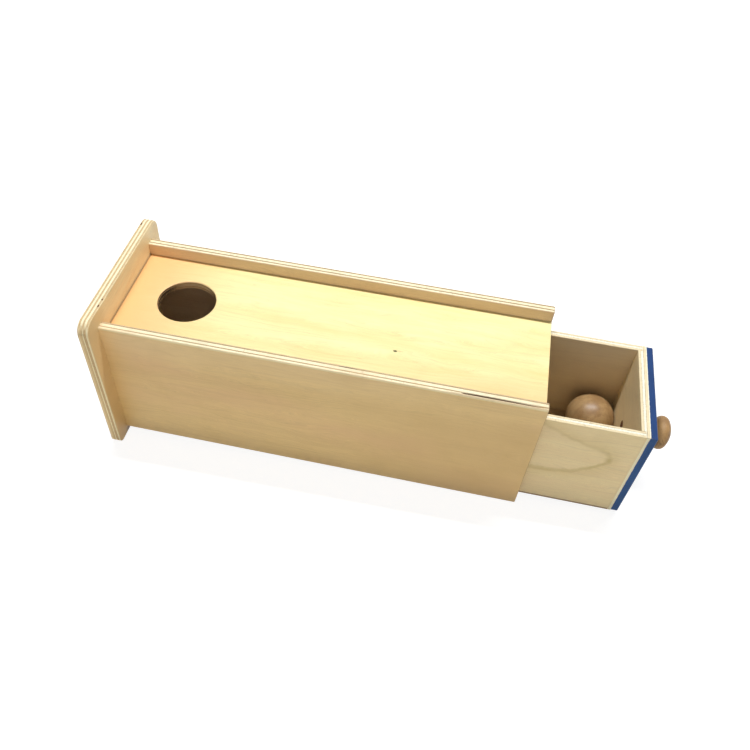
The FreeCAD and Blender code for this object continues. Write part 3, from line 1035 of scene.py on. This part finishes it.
class BALLBOX_OT_stage(bpy.types.Operator):
    """Make the camera, the lamps, the even light and the white floor"""
    bl_idname = "ballbox.stage"
    bl_label = "Stage"

    def execute(self, context):
        scene = context.scene
        stage = scene.ballbox_stage
        scene.view_settings.view_transform = "Standard"
        camera_data = bpy.data.cameras.new("Camera")
        camera_data.lens = stage.lens
        camera_data.shift_x, camera_data.shift_y = stage.shift
        camera_data.clip_start = 0.01
        camera = bpy.data.objects.new("Camera", camera_data)
        camera.location = stage.camera_place
        camera.rotation_euler = stage.camera_turn
        scene.collection.objects.link(camera)
        scene.camera = camera
        # a long lamp overhead and a weak one beside the camera
        for name, where, size, power in (
                ("Key", stage.key_place, (stage.key_length, stage.key_width), stage.key_power),
                ("Fill", stage.fill_place, (stage.fill_size,) * 2, stage.fill_power)):
            lamp_data = bpy.data.lights.new(name, "AREA")
            lamp_data.shape = "RECTANGLE"
            lamp_data.energy = power
            lamp_data.size, lamp_data.size_y = size
            lamp = bpy.data.objects.new(name, lamp_data)
            lamp.location = where
            lamp.rotation_euler = (AIM - lamp.location).to_track_quat("-Z", "Y").to_euler()
            scene.collection.objects.link(lamp)
        # white to the camera and in reflections, even light on the object
        world = bpy.data.worlds.new("Studio")
        world.use_nodes = True
        world.node_tree.nodes.clear()
        g = Graph(world.node_tree)
        strength = g.mix_value(self.seen(g), stage.sky, 1)
        background = g.add("ShaderNodeBackground", {"Color": WHITE, "Strength": strength})
        g.add("ShaderNodeOutputWorld", {"Surface": background})
        scene.world = world
        self.floor(stage)
        return {"FINISHED"}

    @staticmethod
    def seen(g):
        """1 for what the camera, a reflection or glass sees directly."""
        path = g.tree.nodes.new("ShaderNodeLightPath")
        return g.most(*(Wire(g, path.outputs[name]) for name in (
            "Is Camera Ray", "Is Glossy Ray", "Is Transmission Ray")))

    def floor(self, stage):
        """Floor through the end plate's foot and the casing's front edge, where the box rests."""
        plate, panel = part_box("end_plate"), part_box("left_side_panel")
        foot_x, foot_z = plate[1].x, plate[0].z
        slope = (panel[0].z - foot_z) / (panel[1].x - foot_x)
        bm = bmesh.new()
        bmesh.ops.create_grid(bm, x_segments=8, y_segments=8, size=stage.floor_size / 2)
        for v in bm.verts:
            v.co.z = foot_z + slope * (v.co.x - foot_x)
        floor = new_object("Floor", bm)
        material, g = new_material("White floor")
        seen = self.seen(g)
        plain = g.add("ShaderNodeBsdfDiffuse", {"Color": g.mix(seen, stage.floor_colour, WHITE)})
        white = g.add("ShaderNodeEmission", {"Color": WHITE, "Strength": stage.floor_white})
        # shadows show near the box and fade out to plain white round it
        away = g.math("LENGTH", g.object_place())
        shadow = away.fade(0.3, 0.8, stage.floor_shadow)
        both = g.add("ShaderNodeMixShader", {0: seen * (1 - shadow), 1: plain, 2: white})
        g.add("ShaderNodeOutputMaterial", {"Surface": both})
        floor.data.materials.append(material)


def casing_colours(c, veneer, shade):
    """Veneer, figure, long grain, end grain and glue of a casing board."""
    return veneer, shade, c.casing_core, c.casing_cross, c.glue


def drawer_colours(c):
    return c.drawer_veneer, c.drawer_shade, c.drawer_edge, c.drawer_core, c.glue


class BALLBOX_OT_end_plate(bpy.types.Operator):
    """Make the end plate"""
    bl_idname = "ballbox.end_plate"
    bl_label = "End plate"

    def execute(self, context):
        c = context.scene.ballbox_colours
        plywood(context, "end_plate", "EndPlate", "End plate", "casing", 0, 1, "plate",
                (c.plate_veneer, c.plate_shade, c.casing_core, c.plate_cross, c.plate_glue),
                11, relief_seed=1, marks=plate_marks, reach=9 * MM, gaps=PLATE_GAPS)
        return {"FINISHED"}


class BALLBOX_OT_side_panels(bpy.types.Operator):
    """Make the two side panels"""
    bl_idname = "ballbox.side_panels"
    bl_label = "Side panels"

    def execute(self, context):
        c = context.scene.ballbox_colours
        for node, piece, seed, tones, marks, gaps in (
                ("left_side_panel", "LeftSidePanel", 23, (c.near_veneer, c.near_shade),
                 left_panel_marks, LEFT_PANEL_GAPS),
                ("right_side_panel", "RightSidePanel", 41, (c.far_veneer, c.far_shade),
                 right_panel_marks, ())):
            plywood(context, node, piece, piece, "casing", 1, 0, "casing",
                    casing_colours(c, *tones), seed, figure=0.62, marks=marks, gaps=gaps)
        return {"FINISHED"}


class BALLBOX_OT_top_panel(bpy.types.Operator):
    """Make the top panel with its ball hole"""
    bl_idname = "ballbox.top_panel"
    bl_label = "Top panel"

    def execute(self, context):
        c = context.scene.ballbox_colours
        radius, centre = self.hole()
        plywood(context, "top_panel", "TopPanel", "Top panel", "casing", 2, 0, "casing",
                casing_colours(c, c.top_veneer, c.top_shade), 57, relief_seed=3,
                figure=0.72, marks=top_panel_marks,
                also=lambda at: math.hypot(at.x - centre, at.y) < radius + 1.5 * MM)
        return {"FINISHED"}

    @staticmethod
    def hole():
        """Radius of the ball hole and its centre along X, from its wall; it lies on the midline."""
        low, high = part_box("top_panel")
        middle = (low.z + high.z) / 2
        wall = [f.center.x for f in NODES["top_panel"].data.polygons
                if abs(f.normal.z) < 0.01 and low.x + MM < f.center.x < high.x - MM
                and abs(f.center.y) < high.y - 5 * MM and abs(f.center.z - middle) < 3 * MM]
        if not wall:
            raise RuntimeError("the top panel has no ball hole")
        return (max(wall) - min(wall)) / 2, (min(wall) + max(wall)) / 2


class BALLBOX_OT_bottom_panel(bpy.types.Operator):
    """Make the thin floor of the tunnel"""
    bl_idname = "ballbox.bottom_panel"
    bl_label = "Bottom panel"

    def execute(self, context):
        c = context.scene.ballbox_colours
        plywood(context, "bottom_panel", "BottomPanel", "Bottom panel", "casing", 2, 0,
                "tunnel floor", casing_colours(c, c.inner_veneer, c.inner_shade), 71,
                relief_seed=4)
        return {"FINISHED"}


class BALLBOX_OT_drawer_walls(bpy.types.Operator):
    """Make the drawer's four walls"""
    bl_idname = "ballbox.drawer_walls"
    bl_label = "Drawer walls"

    def execute(self, context):
        for node, piece, axis, grain, seed, marks in (
                ("drawer_left_wall", "DrawerLeftWall", 1, 0, 83, left_wall_marks),
                ("drawer_right_wall", "DrawerRightWall", 1, 0, 97, right_wall_marks),
                ("drawer_front_wall", "DrawerFrontWall", 0, 1, 101, end_wall_marks),
                ("drawer_back_wall", "DrawerBackWall", 0, 1, 113, end_wall_marks)):
            plywood(context, node, piece, piece, "drawer", axis, grain, "drawer",
                    drawer_colours(context.scene.ballbox_colours), seed, figure=0.45,
                    marks=marks, reach=0.7 * MM)
        return {"FINISHED"}


class BALLBOX_OT_drawer_floor(bpy.types.Operator):
    """Make the drawer's thin floor"""
    bl_idname = "ballbox.drawer_floor"
    bl_label = "Drawer floor"

    def execute(self, context):
        plywood(context, "drawer_floor", "DrawerFloor", "Drawer floor", "drawer", 2, 0,
                "drawer floor", drawer_colours(context.scene.ballbox_colours), 127,
                relief_seed=6, figure=0.6, marks=drawer_floor_marks)
        return {"FINISHED"}


class BALLBOX_OT_drawer_face(bpy.types.Operator):
    """Make the blue painted face"""
    bl_idname = "ballbox.drawer_face"
    bl_label = "Drawer face"

    def execute(self, context):
        face = make_board(context, "drawer_face", "DrawerFace", 0, "drawer",
                          blue_paint(context.scene.ballbox_colours), 7, reach=0.9 * MM)
        settle(face, "drawer_face", "drawer")
        return {"FINISHED"}


class BALLBOX_OT_knob(bpy.types.Operator):
    """Turn the knob"""
    bl_idname = "ballbox.knob"
    bl_label = "Knob"

    def execute(self, context):
        t = context.scene.ballbox_turned
        low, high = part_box("knob")
        centre = Vector((low.x, (low.y + high.y) / 2, (low.z + high.z) / 2))
        stand, half_depth = high.x - low.x, t.knob_head_depth / 2
        rim = (stand - half_depth, (high.z - low.z) / 2 - t.knob_rim)
        nose = ((half_depth ** 2 + rim[1] ** 2 - t.knob_rim ** 2)
                / (2 * (half_depth - t.knob_rim)))
        meets = math.atan2(rim[1], nose - half_depth)
        # the domed nose, the rim, the hollow neck and the bore, with their counts of steps
        head = arc(rim, t.knob_rim, meets, t.knob_rim_end, 20)
        neck = arc_through(head[-1], (t.knob_waist_at, t.knob_waist / 2), (0, t.knob_foot / 2), 18)
        profile = arc((stand - nose, 0), nose, 0, meets, 16) + head[1:] + neck[1:] + [
            (0, t.bore / 2), (t.bore_depth - t.bore_tip, t.bore / 2), (t.bore_depth, 0)]
        turn(context, "knob", "Knob", "drawer", 220, centre,
             context.scene.ballbox_colours.knob_wood, 0.48, profile, 2)
        return {"FINISHED"}


class BALLBOX_OT_knob_screw(bpy.types.Operator):
    """Finish the knob's screw"""
    bl_idname = "ballbox.knob_screw"
    bl_label = "Knob screw"

    def execute(self, context):
        material, g = new_material("Screw steel")
        pits = g.noise(g.object_place() * (1 / MM) * 2.5, detail=4, roughness=0.7)
        base = g.shaded(context.scene.ballbox_colours.steel, pits.ramp(0.3, 0.7, 0.7, 1.1))
        surface(g, base, pits * 0.2, 0.42, pits, 0.2, {"Metallic": 0.45})
        screw = NODES["knob_screw"]
        screw.data.materials.clear()
        screw.data.materials.append(material)
        return {"FINISHED"}


class BALLBOX_OT_ball(bpy.types.Operator):
    """Turn the ball"""
    bl_idname = "ballbox.ball"
    bl_label = "Ball"

    def execute(self, context):
        low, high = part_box("ball")
        profile = arc((0, 0), (high.z - low.z) / 2, 0, math.pi, 96)
        turn(context, "ball", "Ball", "ball", 97, (low + high) / 2,
             context.scene.ballbox_colours.ball_wood, 0.31, profile, 1)
        return {"FINISHED"}


class BALLBOX_PT_panel(bpy.types.Panel):
    """Lists the operators and their sizes and colours"""
    bl_label = "Ball Box"
    bl_idname = "BALLBOX_PT_panel"
    bl_space_type = "VIEW_3D"
    bl_region_type = "UI"
    bl_category = "Ball Box"

    def draw(self, context):
        layout = self.layout
        for operator in OPERATORS:
            layout.operator(operator.bl_idname)
        for name, group in GROUPS:
            box = layout.box()
            for key in group.__annotations__:
                box.prop(getattr(context.scene, name), key)


OPERATORS = (
    BALLBOX_OT_stage,
    BALLBOX_OT_end_plate,
    BALLBOX_OT_side_panels,
    BALLBOX_OT_top_panel,
    BALLBOX_OT_bottom_panel,
    BALLBOX_OT_drawer_walls,
    BALLBOX_OT_drawer_floor,
    BALLBOX_OT_drawer_face,
    BALLBOX_OT_knob,
    BALLBOX_OT_knob_screw,
    BALLBOX_OT_ball,
)
CLASSES = (*(group for _, group in GROUPS), *OPERATORS, BALLBOX_PT_panel)


def register():
    for cls in CLASSES:
        bpy.utils.register_class(cls)
    for name, group in GROUPS:
        setattr(bpy.types.Scene, name, bpy.props.PointerProperty(type=group))


def unregister():
    for name, _ in GROUPS:
        delattr(bpy.types.Scene, name)
    for cls in reversed(CLASSES):
        bpy.utils.unregister_class(cls)


def main():
    register()
    for operator in OPERATORS:
        family, name = operator.bl_idname.split(".")
        getattr(getattr(bpy.ops, family), name)()


if __name__ == "__main__":
    main()
